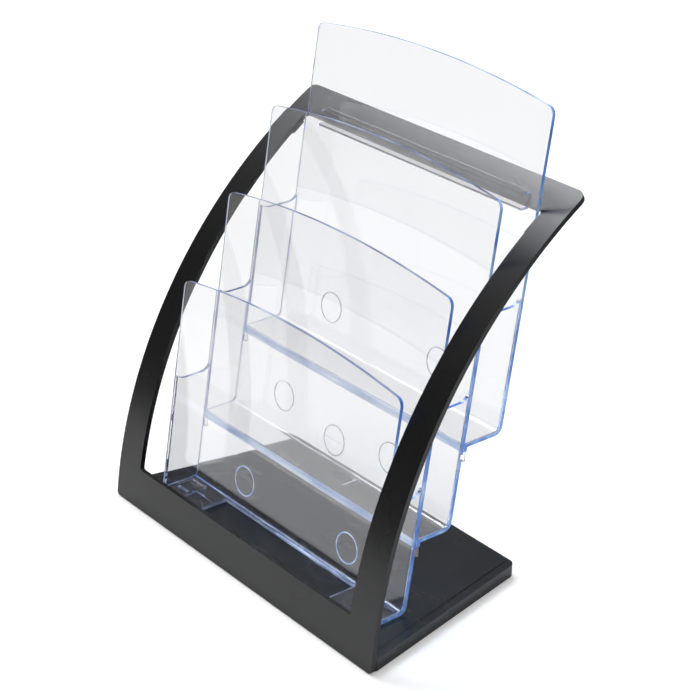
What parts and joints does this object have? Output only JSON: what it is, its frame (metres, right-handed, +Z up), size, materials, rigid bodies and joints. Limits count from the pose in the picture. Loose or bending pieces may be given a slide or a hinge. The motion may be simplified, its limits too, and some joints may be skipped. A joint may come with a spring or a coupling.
{
  "type": "brochure rack",
  "caption": "Counter-top brochure rack: black curved arch on a tapered base plate, with clear stepped pockets that lean back for magazines and leaflets",
  "frame": {"origin": "middle of the footprint's bounding box, on the table", "axes": "+Z up, +X to the right seen from the front, +Y from the front to the back"},
  "size_m": [0.2858, 0.1748, 0.3376],
  "materials": {
    "arch_black": "black satin moulded plastic",
    "base_black": "black semi-gloss moulded plastic",
    "clear_styrene": "clear polished styrene with blue-tinted edges",
    "screw_steel": "zinc-plated steel",
    "foot_rubber": "matt black rubber"
  },
  "bodies": {
    "root": {"arch_frame": "arch_black", "base_plate": "base_black", "lower_pocket": "clear_styrene", "middle_pocket": "clear_styrene", "upper_pocket": "clear_styrene", "frame_screw_1": "screw_steel", "frame_screw_2": "screw_steel", "frame_screw_3": "screw_steel", "frame_screw_4": "screw_steel", "rubber_foot_1": "foot_rubber", "rubber_foot_2": "foot_rubber", "rubber_foot_3": "foot_rubber", "rubber_foot_4": "foot_rubber"}
  },
  "joints": []
}
